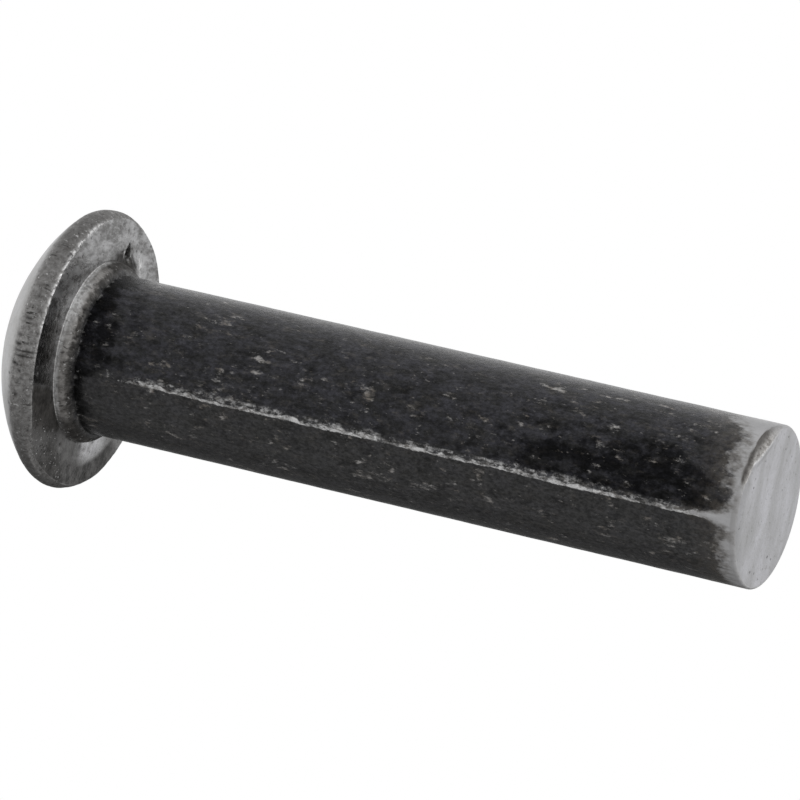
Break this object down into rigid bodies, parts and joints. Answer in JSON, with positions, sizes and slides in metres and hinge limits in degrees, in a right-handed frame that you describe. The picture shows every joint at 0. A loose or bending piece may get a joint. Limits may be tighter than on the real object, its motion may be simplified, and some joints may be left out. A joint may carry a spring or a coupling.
{
  "type": "solid rivet",
  "caption": "Solid steel rivet with a low domed head, a flat bearing face, a crowned neck and a plain black-scaled shank.",
  "frame": {"origin": "centre of the flat end face, which the rivet stands on", "axes": "+Z along the rivet's axis from the end face to the head; the die line lies near -Y and the end nick between +X and -Y"},
  "size_m": [0.0174, 0.0174, 0.05],
  "materials": {
    "steel": "forged steel: black scale on the shank, bare grey steel on the head, neck and end"
  },
  "bodies": {
    "root": {"rivet": "steel"}
  },
  "joints": []
}
